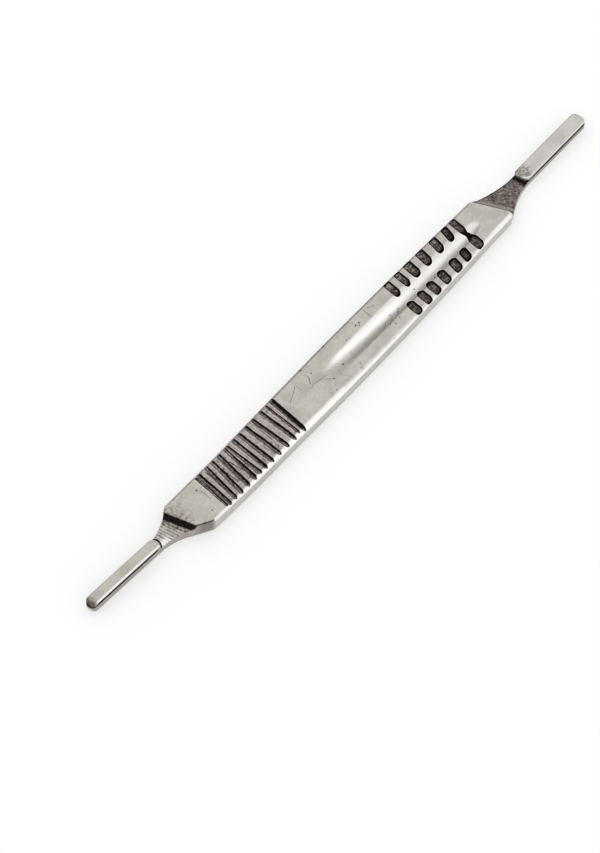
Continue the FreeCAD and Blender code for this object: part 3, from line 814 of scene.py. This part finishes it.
def steel_material(look, groups):
    """Worn satin steel: bright with wear and painted highlights in the channel and on edges, dark
    where it was cut.
    """
    material = bpy.data.materials.new("worn_satin_steel")
    wires = empty_shading(material)
    ramp, tint, most, plus = wires.ramp, wires.tint, wires.most, wires.plus

    place = wires.get("ShaderNodeTexCoord", (), "Object")
    film, coarse, even, rub, grip, along, across, groove, flank, cut = (
        wires.get("ShaderNodeAttribute", (), "Fac", attribute_name=name) for name in MASKS
    )
    grain = wires.group(groups["grain"], {"Vector": place})
    stripes = wires.group(groups["stripes"], {"Along": along, "Across": across})["Stripes"]
    lengthways, skew, combed = (
        wires.group(groups["hairline"], {"Vector": place, **values})["Mask"] for values in (
            {"Density": 0.55, "Angle": 0.1}, {"Density": 0.3, "Angle": 0.9},
            {"Density": 1.6, "Angle": 1.45, "Fineness": 3900.0, "Stretch": 0.3},
        )
    )
    scratches, pits = (
        wires.group(groups[name], {
            "Vector": place,
            "Nearest": wires.get("ShaderNodeAttribute", (), "Vector",
                                 attribute_name=f"nearest_{name}"),
        })["Mask"] for name in ("scratch", "pit")
    )

    # Filed grooves: a grey left flank, a black foot and a dark right flank, the steep right flank
    # dark with scale and painted shade
    in_groove = ramp(groove, 0.0, 0.05)
    line = ramp(groove, 0.02, 0.06) * ramp(groove, 0.17, 0.09)
    left_tone = plus(line, 0.42, ramp(groove, 0.0, 0.05, 0.2, 0.62))
    left_tone = plus(stripes, -0.36, left_tone) + ramp(groove, 0.36, 0.42, 0.0, 0.5)
    right_scale_and_shade = ramp(groove, 0.0, 0.12, 0.8, 1.0) + stripes * -0.06
    tone = wires.mix(flank, left_tone, right_scale_and_shade)
    groove_scale_and_shade = wires.math("MULTIPLY", in_groove, tone, clamp=True)
    ridge_film = grip * plus(stripes, 0.2, 0.08)

    # Cross cuts: a black edge round a speckled brown floor, with a painted edge highlight outside
    # it and a fainter one along the grooves
    in_cut = ramp(cut, -0.01, 0.02)
    edge = ramp(cut, 0.42, 0.27)
    edge_highlight = ramp(cut, -0.13, -0.05) * ramp(cut, -0.005, -0.04)
    groove_edge_highlight = ramp(groove, -0.16, -0.05) * ramp(groove, -0.005, -0.04)
    edge_highlight = most(edge_highlight, groove_edge_highlight * 0.4)

    # Bare steel with painted highlights, then brown and black deposit and painted shade on it
    steel, dull_and_sheen, blush, bright, scale, rust_and_shade, dark, brown = (
        tuple(getattr(look, name)) for name in
        ("steel", "dull_and_sheen", "blush", "bright", "scale", "rust_and_shade", "dark", "brown")
    )
    worn = tint(grain["Patches"] * 0.35, steel, dull_and_sheen)
    worn = tint(grain["Mottle"] * 0.4, worn, dull_and_sheen)
    worn = tint(grip * 0.75, worn, blush)
    worn = tint(rub, worn, bright)
    worn = tint(most(lengthways, skew) * 0.22, worn, dull_and_sheen)
    worn = tint(edge_highlight * 0.7, worn, bright)
    residue_and_shade = most(film, groove_scale_and_shade, ridge_film)
    speck = (grain["Mottle"] - 0.5) * ramp(residue_and_shade, 0.03, 0.3, 0.0, 0.4)
    speck = speck * ramp(residue_and_shade, 0.98, 0.75) * (1.0 - even)
    comb = (combed - 0.35) * (coarse * 0.34)
    residue_and_shade = wires.math("ADD", residue_and_shade + speck, comb, clamp=True)
    worn = tint(ramp(residue_and_shade, 0.02, 0.55), worn, rust_and_shade)
    worn = tint(ramp(residue_and_shade, 0.5, 1.0), worn, scale)

    # Floor of the cuts, with painted glints among its flecks and a painted sheen where they run out
    # at the far edge
    flecks = wires.noise(place, 1900.0, 2.0)
    floor = tint(plus(ramp(flecks, 0.4, 0.64), 0.75, grain["Grain"] * 0.15), dark, brown)
    floor = tint(ramp(flecks, 0.6, 0.74) * 0.5, floor, dull_and_sheen)
    run_out = ramp(across, 3.2 * MM, 4.4 * MM) * (ramp(flecks, 0.42, 0.6) * 0.7)
    floor = tint(run_out, floor, dull_and_sheen)
    worn = tint(in_cut, worn, tint(edge, floor, scale))
    worn = tint(scratches * 0.85, worn, tint(grip, rust_and_shade, scale))
    worn = tint(pits * 0.9, worn, scale)

    # Rougher and less metallic under deposit, painted shade, cuts and pits
    tarnish_and_shade = most(residue_and_shade, in_cut, pits * 0.9)
    rough = plus(rub, -0.16, plus(grain["Patches"], 0.08, look.roughness - 0.04))
    rough = wires.math("MULTIPLY_ADD", tarnish_and_shade, 0.35, rough, clamp=True)
    metallic = wires.math("SUBTRACT", 1.0, ramp(tarnish_and_shade, 0.1, 0.7) * 0.9, clamp=True)
    height = grain["Grain"] * 0.25
    for value, rise in (
        (grain["Mottle"], 0.35), (lengthways, -0.3), (skew, -0.3), (scratches, -1.0), (pits, -2.5),
        (combed * coarse, -1.6), (stripes * most(grip, in_groove, in_cut), 1.6),
    ):
        height = plus(value, rise, height)
    bump = wires.get("ShaderNodeBump", {
        "Strength": 1.0, "Distance": GRAIN_DEEP * MM, "Height": height,
    })
    wires.end("ShaderNodeOutputMaterial", wires.get("ShaderNodeBsdfPrincipled", {
        "Base Color": worn, "Metallic": metallic, "Roughness": rough, "Normal": bump,
        "Specular IOR Level": 0.0,
    }))
    return material


def the_steel(context):
    """The one steel material, made on first use."""
    kept = bpy.data.materials.get("worn_satin_steel")
    if kept:
        return kept
    groups = {
        "grain": grain_group(), "hairline": hairline_group(), "stripes": stripe_group(),
        "scratch": mark_group("Scratches", 5000.0, 0.8, 0.5, False),
        "pit": mark_group("Pits", 4000.0, 0.9, 0.6, True),
    }
    return steel_material(context.scene.steel_look, groups)


# Masks of the steel

def ridge_waves(x, y):
    """Milling ridges across the left neck: share of each point, and height from -1 to 1."""
    share = between(seat_way(LEFT_SEAT, x, y), 1.1, 1.5, 4.9, 5.6)
    turn = (-x - 0.16 * y + 0.03 * (y - 1.5) ** 2 + 0.05 * np.sin(y * 2.3 + x)) / 0.62
    return share, 1 - 2 * np.abs(2 * (turn % 1) - 1)


def shade_behind_small_lug(x, y):
    """1 on the neck just behind the small lug's rounded end: a dark line of deposit and painted
    shade.
    """
    end = -60.12 - 0.35 * (y - 1.35) ** 2
    return 1 - step_up(np.abs(x - end), 0.14, 0.26)


def channel_rub_and_highlight(x, y):
    """How bright the channel is worn and painted with a highlight band: off to its far side at its
    start, over its middle later.
    """
    centre = np.interp(x, [-9, -4, 7, 18], [0.9, 1.0, 0.9, 0.4])
    half = np.interp(x, [-9, -4, 7, 12, 18, 36, 42], [0.4, 0.8, 1.2, 1.5, 2.5, 2.5, 1.4])
    level = np.interp(x, [-8.6, -6.5, -4, 2, 8, 14, 20, 36, 42],
                      [0, 0.35, 0.8, 0.95, 1.0, 0.8, 0.56, 0.56, 0.4])
    return level * np.exp(-1.1 * ((y - centre) / half) ** 2)


def handle_masks(thick, rows, points, kinds):
    """Where the skin is dark with deposit and painted shade, rough, worn bright with painted
    highlights, and striped, before anything is filed.
    """
    x, y, z = points[..., 0], points[..., 1], points[..., 2]
    left, right = seat_way(LEFT_SEAT, x, y), seat_way(RIGHT_SEAT, x, y)
    face, side, far, near = (kinds == kind for kind in ("face", "side", "far bevel", "near bevel"))
    upper = (face | far | near)[None, :]
    body = between(x, -55.0, -54.0, 48.3, 48.7)
    tangs = np.maximum(step_up(-x, 58.0, 62.0), step_up(x, 48.0, 52.0))
    seat, rough = step_up(right, 0.0, 0.05), step_up(right, 1.7, 2.1)

    share, waves = ridge_waves(x, y)
    # Deposit and painted shade in a band at the foot of the small shoulder; dark between the
    # milling ridges
    ridges = 0.42 * between(left, 0.0, 0.3, 1.0, 2.6) + 0.5 * share * step_up(-waves, 0.1, 0.8)
    right_neck = seat * np.maximum(0.3 + 0.2 * rough, 0.65 * (1 - step_up(right, 1.0, 1.2)))
    # Painted shade on the neck at the large lug's rear end, where the gap under it lies in shade
    shade_at_large_lug_rear = 0.5 * step_up(x, 57.0, 57.6) * step_up(right, 3.0, 5.0)
    # Painted shade on the slot floors under both lugs
    slots = np.maximum(step_up(-x, 61.4, 61.9), step_up(x, 58.3, 58.9))
    # The small shoulder's wall: dark deposit and painted shade
    wall = between(left, -0.02, 0.02, 0.9, 1.15)
    stain = 0.1 * (1 - step_up(x, -52.0, -46.0))
    stain = stain + 0.14 * (1 - step_up(-left, 0.5, 2.2)) * (y > -2)
    low_rim = between(CHANNEL_Y - y, 1.1, 1.9, 1.95, 2.05) * between(x, 0.0, 5.0, 13.0, 17.0)
    film = np.maximum.reduce([
        0.94 * wall * upper, ridges * upper, shade_behind_small_lug(x, y) * upper,
        (right_neck + shade_at_large_lug_rear) * upper, 0.95 * slots * upper,
        (0.02 + 0.14 * np.maximum(tangs, step_up(-x, 49.5, 50.5))) * ~upper,
        # Painted dark reflection of the shaded table on the far bevel; a dark line on the far edge
        # of the large neck
        0.22 * far * (1 - tangs),
        0.9 * (far | np.roll(far, -3)) * step_up(right, 0.8, 1.2) * (1 - step_up(x, 57.0, 58.0)),
        stain * face * (left <= 0),
        0.36 * between(x, -57.0, -52.0, -50.4, -49.6) * (y < 0) * (side + 2.0 * near),
        0.12 * low_rim * face,
    ])
    even = np.maximum(~upper + 0.8 * far, seat * (1 - 0.6 * rough))

    seated = (left <= 0) & (right <= 0)
    level = np.interp(x, [-50, -43, -37, 4, 20], [0.6, 0.7, 1, 1, 0.74])
    # Bright wear and painted highlights: the channel's highlight band, the near bevel, the near
    # edge of the small neck and the near side
    rub = np.maximum.reduce([
        step_up(thick - z, 0.01, 0.1) * face * seated * channel_rub_and_highlight(x, y),
        step_up(thick - z, 0.0, 0.25) * near * body * level,
        0.8 * step_up(left, 3.4, 4.6) * (1 - step_up(y, 0.4, 1.6)) * (left < 5.9) * upper,
        0.22 * side * (y < 0) * body,
    ])

    grip = between(rows, -45.6, -44.9, -21.3, -21.0)[:, None]
    bridges = 0.4 * between(rows, 14.6, 15.4, 39.0, 39.6)[:, None]
    bridges = bridges * step_up(np.abs(y - CHANNEL_Y), 1.3, 1.9)
    grip = np.maximum(grip, bridges) * face
    return {"film": film, "coarse": rough * upper, "even": even, "rub": rub, "grip": grip}


def nearest_marks(x, y, upper):
    """For each point, where its nearest scratch and pit lie, in millimetres."""
    far = np.where(upper, 0.0, 9.0)
    offs, beyonds, widths = [], [], []
    for (x0, y0), (x1, y1), width in SCRATCHES:
        long = math.hypot(x1 - x0, y1 - y0)
        run = ((x - x0) * (x1 - x0) + (y - y0) * (y1 - y0)) / long
        offs.append(((y - y0) * (x1 - x0) - (x - x0) * (y1 - y0)) / long + far)
        beyonds.append(np.maximum(np.maximum(-run, run - long), 0))
        widths.append(np.full(x.shape, width))
    offs, beyonds, widths = np.array(offs), np.array(beyonds), np.array(widths)
    best = np.argmin(np.abs(offs) + beyonds, axis=0)[None]
    picked = [np.take_along_axis(values, best, 0)[0] for values in (offs, beyonds, widths)]
    places = np.array([place for place, _ in PITS])
    away = np.hypot(x[..., None] - places[:, 0], y[..., None] - places[:, 1])
    pit = np.argmin(away, axis=-1)
    pit_widths = np.array([width for _, width in PITS])
    pits = [x - places[pit, 0] + far, y - places[pit, 1], pit_widths[pit]]
    return {"nearest_scratch": np.stack(picked, -1), "nearest_pit": np.stack(pits, -1)}


def keep_masks(mesh, masks):
    """Store the masks that the steel reads; those not given are plain."""
    count = len(mesh.vertices)
    places = np.empty(count * 3)
    mesh.vertices.foreach_get("co", places)
    x, y, z = places.reshape(-1, 3).T / MM
    for name, value in nearest_marks(x, y, z > MARKS_ABOVE).items():
        store(mesh, name, value)
    for name, value in MASKS.items():
        store(mesh, name, masks.get(name, np.full(count, float(value))))


def dress(piece):
    """Finish a closed steel piece, sharp where it folds, and hand it to the frame."""
    mesh = piece.data
    work = bmesh.new()
    work.from_mesh(mesh)
    bmesh.ops.recalc_face_normals(work, faces=work.faces)
    work.to_mesh(mesh)
    work.free()
    mesh.polygons.foreach_set("use_smooth", [True] * len(mesh.polygons))
    mesh.set_sharp_from_angle(angle=math.radians(SHARP_DEGREES))
    mesh.update()
    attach(piece, "root")
    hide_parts(NODE)


class OBJECT_OT_handle_steel(bpy.types.Operator):
    """Build the steel skin of the handle, then file its grooves and mill its cuts"""

    bl_idname = "object.handle_steel"
    bl_label = "Handle Steel"

    def execute(self, context):
        sizes = context.scene.handle_sizes
        rows, points, kinds = handle_blank(sizes)
        share, waves = ridge_waves(points[..., 0], points[..., 1])
        points[..., 2] += np.where(kinds == "face", share * waves * RIDGE_HIGH, 0)
        masks = handle_masks(sizes.thick / MM, rows, points, kinds)
        masks["along"] = np.repeat(rows, len(kinds)) * MM
        masks["across"] = points[..., 1] * MM
        piece = closed_piece("handle_steel", points)
        keep_masks(piece.data, masks)
        steel = the_steel(context)
        grooves = [{"Place": place * MM, "Share": share} for place, _, share in GROOVES]
        file_piece(piece, "Grip grooves", groove_tree(), grooves, {
            "Top": sizes.thick, "Depth": sizes.groove_depth, "Left run": sizes.groove_slope,
            "Right run": sizes.groove_steep, "Wobble": sizes.wobble,
        }, Seed=sizes.seed, Material=steel)
        cuts = [
            {"Place": place * MM, "Share": share, "Far share": far, "Near share": near}
            for place, _, share, far, near in CUTS
        ]
        file_piece(piece, "Cross cuts", cut_tree(), cuts, {
            "Top": sizes.thick, "Depth": sizes.cut_depth, "Width": sizes.cut_wide,
            "Wobble": sizes.wobble,
        }, Seed=sizes.seed + CUT_SEEDS, Material=steel)
        dress(piece)
        return {"FINISHED"}


# Blade lugs

def bar_ring(lug, reach, tip, inset, rear_inset):
    """One ring round a lug, inset from its outline: along the tang, and toward the far side."""
    half = lug["half"] - inset
    back = -lug["back"] + rear_inset
    front = reach - lug["short"] - inset
    corners = [
        (back, half, lug["far"] - rear_inset, 180, 90), (front, half, tip - inset, 90, 0),
        (front, -half, tip - inset, 0, -90), (back, -half, lug["near"] - rear_inset, -90, -180),
    ]
    arcs = []
    for x, y, radius, first, last in corners:
        radius = max(radius, LEAST_ROUND)
        centre = (x + math.copysign(radius, reach / 2 - x), y - math.copysign(radius, y))
        angles = np.radians(np.linspace(first, last, CORNER_POINTS))
        arcs.append(np.array(centre) + radius * np.stack([np.cos(angles), np.sin(angles)], -1))
    ring = []
    for place, arc in enumerate(arcs):
        after = arcs[(place + 1) % 4][0]
        steps = LONG_STEPS if place % 2 == 0 else SHORT_STEPS
        share = np.linspace(0, 1, steps + 1)[1:-1, None]
        ring += [arc, arc[-1] * (1 - share) + after * share]
    return np.concatenate(ring)


def lug_piece(context, name, lug, tang):
    """One lug: the narrow stem in the slot, the overhanging bar, and its rounded bevel."""
    reach = tang_reach(tang)
    front = reach - lug["short"]
    turn = math.radians(tang["turn"])
    way = math.copysign(1, tang["root"])
    run_to = np.array([way * math.cos(turn), math.sin(turn)])
    far_to = np.array([-way * math.sin(turn), math.cos(turn)])
    root = np.array([tang["root"], tang["axis"]])
    under, top, bevel = lug["under"], lug["top"], lug["bevel"]

    # Rings from the foot of the stem to the top: inset at the sides and at the rear, height, dark
    # deposit with painted shade under the bar, worn bright with a painted highlight on the bevel,
    # and how far the ring is drawn in to its middle line
    profile = [
        (UNDERCUT, UNDERCUT, under - STEM_HIGH, 0.95, 0.0, 0.0),
        (UNDERCUT, UNDERCUT, under, 0.95, 0.0, 0.0),
        (0.0, 0.0, under, 0.95, 0.0, 0.0), (0.0, 0.0, under + 0.16, 0.8, 0.0, 0.0),
        (0.0, 0.0, under + 0.26, 0.2, 0.5, 0.0), (0.0, 0.0, top - bevel, 0.0, 1.0, 0.0),
    ]
    for step in np.linspace(0, 1, 6)[1:]:
        ease = 0.4 * step + 0.6 * math.sin(step * math.pi / 2)
        inset = bevel * (0.4 * step + 0.6 * (1 - math.cos(step * math.pi / 2)))
        height, bright = top - bevel * (1 - ease), 1.0 - 0.9 * step ** 3
        profile.append((inset, inset * 0.3, height, 0.0, bright, 0.0))
    for drawn in (0.03, 0.12, 0.24, 0.36, 0.48, 0.6, 0.72, 0.84, 0.94, 0.99):
        profile.append((inset, inset * 0.3, top, 0.0, 0.0, drawn))

    points, film, even, rub = [], [], [], []
    for inset, rear_inset, height, dark, bright, drawn in profile:
        ring = bar_ring(lug, reach, tang["tip"], inset, rear_inset)
        heel = lug["heel"] * (1 - step_up(ring[:, 0], 1.0, 4.5)) * step_up(-ring[:, 1], 0.0, 0.6)
        if dark > 0.9:
            whole = bar_ring(lug, reach, tang["tip"], 0.0, 0.0)
            ring = ring + (whole - ring) * heel[:, None]
        run, side = ring[:, 0], ring[:, 1] * (1 - drawn)
        nose = step_up(run, front - lug["nose"], front - 0.1)
        above = np.clip((height - under) / (top - under), 0, 1)
        drop = nose * (lug["lip"] * (1 - above) + lug["nose drop"] * above)
        flat = root + run[:, None] * run_to + side[:, None] * far_to
        points.append(np.column_stack([flat, height - drop]))

        tip = step_up(run, front - 0.5, front - 0.1)
        rear = 1 - step_up(run, 0.15 - lug["back"], 0.5 - lug["back"])
        low = float(height < top - 0.01)
        spot = np.minimum(1.5 * np.exp(-((run - 0.8) / 2.1) ** 2 - ((side - 0.1) / 2.0) ** 2), 1)
        # Dark deposit and painted shade: on the stem under the bar, on the nose, low on both ends
        # and low on the far side; a smudge on top
        film.append(np.maximum.reduce([
            dark * (1 - heel), lug["smudge"] * spot * (1 - low), lug["nose film"] * nose,
            0.4 * np.maximum(tip, rear) * low,
            lug["far film"] * (side > 0.9 * lug["half"] - inset) * low,
        ]))
        even.append(0.55 - 0.3 * spot * (lug["smudge"] > 0))
        # Bright wear with painted highlights along the bevel
        sides = np.where(side < 0.4, lug["near rub"], lug["far rub"])
        ends = (1 - rear * (1 - lug["bright rear"])) * (1 - tip)
        rub.append(np.maximum(bright * sides * ends, lug["top rub"]))
    piece = closed_piece(name, np.array(points))
    masks = {"film": film, "even": even, "rub": rub}
    keep_masks(piece.data, {label: np.concatenate(values) for label, values in masks.items()})
    piece.data.materials.append(the_steel(context))
    dress(piece)


class OBJECT_OT_blade_lugs(bpy.types.Operator):
    """Build the two lugs that hold a blade, one on each tang"""

    bl_idname = "object.blade_lugs"
    bl_label = "Blade Lugs"

    def execute(self, context):
        lug_piece(context, "small_blade_lug", LEFT_LUG, LEFT_TANG)
        lug_piece(context, "large_blade_lug", RIGHT_LUG, RIGHT_TANG)
        return {"FINISHED"}


# Stage

TABLE_HALF, TABLE_DROP = 3.0, -0.02 * MM
TABLE_GREY, TABLE_GLOW = 0.59, 0.42
SENSOR_HIGH = 24.0


def world_light(scene):
    """A white room; metal sees its far side darker, as behind a table."""
    scene.world = bpy.data.worlds.new("Studio")
    wires = empty_shading(scene.world)
    studio = scene.studio_look
    _, away, up = wires.split(wires.get("ShaderNodeTexCoord", (), "Generated"))
    seen = wires.ramp(away - up * 0.6, -0.25, 0.6, studio.near_level, studio.far_level)
    seen = seen + wires.ramp(away, -0.35, -0.8, 0.0, studio.window_level)
    for_metal, for_camera = (
        wires.get("ShaderNodeLightPath", (), name) for name in ("Is Glossy Ray", "Is Camera Ray")
    )
    level = wires.mix(for_camera, wires.mix(for_metal, studio.room_level, seen), 1.0)
    wires.end("ShaderNodeOutputWorld", wires.get("ShaderNodeBackground", {
        "Color": (1.0, 1.0, 1.0, 1.0), "Strength": level,
    }))


def table_material():
    """Pale matt table that glows a little, so that shadows on it stay pale."""
    material = bpy.data.materials.new("pale_table")
    wires = empty_shading(material)
    wires.end("ShaderNodeOutputMaterial", wires.get("ShaderNodeBsdfPrincipled", {
        "Base Color": (*[TABLE_GREY] * 3, 1.0), "Roughness": 1.0, "Specular IOR Level": 0.0,
        "Emission Color": (1.0, 1.0, 1.0, 1.0), "Emission Strength": TABLE_GLOW,
    }))
    return material


def softbox(name, target, way, distance, wide, tall, level):
    """A soft lamp that faces a target; level is how bright its face looks, white being 1."""
    data = bpy.data.lights.new(name, "AREA")
    data.shape = "RECTANGLE"
    data.size, data.size_y = wide, tall
    data.energy = level * math.pi * wide * tall
    lamp = bpy.data.objects.new(name, data)
    way = Vector(way).normalized()
    lamp.location = Vector(target) + way * distance
    lamp.rotation_euler = way.to_track_quat("Z", "Y").to_euler()
    bpy.context.scene.collection.objects.link(lamp)


class OBJECT_OT_handle_studio(bpy.types.Operator):
    """Set the pale table, the softbox and the camera"""

    bl_idname = "object.handle_studio"
    bl_label = "Handle Studio"

    def execute(self, context):
        scene = context.scene
        studio = scene.studio_look
        scene.view_settings.view_transform = "Standard"
        world_light(scene)
        mesh = bpy.data.meshes.new("table")
        signs = ((-1, -1), (1, -1), (1, 1), (-1, 1))
        corners = [(x * TABLE_HALF, y * TABLE_HALF, TABLE_DROP) for x, y in signs]
        mesh.from_pydata(corners, [], [(0, 1, 2, 3)])
        table = bpy.data.objects.new("table", mesh)
        table.data.materials.append(table_material())
        scene.collection.objects.link(table)
        softbox("overhead_softbox", (0, 0, 0), (0.42, 0.2, 0.88), 0.9, 1.0, 0.8, studio.lamp_level)

        target = Vector((studio.target_x, studio.target_y, 0))
        away = Vector((math.sin(studio.azimuth), math.cos(studio.azimuth), 0))
        back = away * -math.cos(studio.elevation)
        back.z = math.sin(studio.elevation)
        data = bpy.data.cameras.new("camera")
        data.sensor_fit = "VERTICAL"
        data.sensor_height = SENSOR_HIGH
        data.lens = studio.zoom
        data.clip_start = 0.01
        camera = bpy.data.objects.new("camera", data)
        camera.location = target + back * studio.distance
        camera.rotation_euler = back.to_track_quat("Z", "Y").to_euler()
        scene.collection.objects.link(camera)
        scene.camera = camera
        return {"FINISHED"}


# Add-on

class VIEW3D_PT_scalpel_handle(bpy.types.Panel):
    """Lists the steps that build the handle and its studio"""

    bl_idname = "VIEW3D_PT_scalpel_handle"
    bl_label = "Scalpel Handle"
    bl_space_type = "VIEW_3D"
    bl_region_type = "UI"
    bl_category = "Scalpel Handle"

    def draw(self, context):
        layout = self.layout
        for operator in STEPS:
            layout.operator(operator.bl_idname)
        for group in [getattr(context.scene, name) for name in GROUPS]:
            box = layout.box()
            for name in group.bl_rna.properties.keys():
                if name not in ("rna_type", "name"):
                    box.prop(group, name)


STEPS = (OBJECT_OT_handle_studio, OBJECT_OT_handle_steel, OBJECT_OT_blade_lugs)
GROUPS = {"handle_sizes": HandleSizes, "steel_look": SteelLook, "studio_look": StudioLook}
CLASSES = (*GROUPS.values(), *STEPS, VIEW3D_PT_scalpel_handle)


def register():
    for item in CLASSES:
        bpy.utils.register_class(item)
    for name, group in GROUPS.items():
        setattr(bpy.types.Scene, name, bpy.props.PointerProperty(type=group))


def unregister():
    for name in GROUPS:
        delattr(bpy.types.Scene, name)
    for item in reversed(CLASSES):
        bpy.utils.unregister_class(item)


def main():
    register()
    bpy.ops.object.handle_studio()
    bpy.ops.object.handle_steel()
    bpy.ops.object.blade_lugs()


if __name__ == "__main__":
    main()
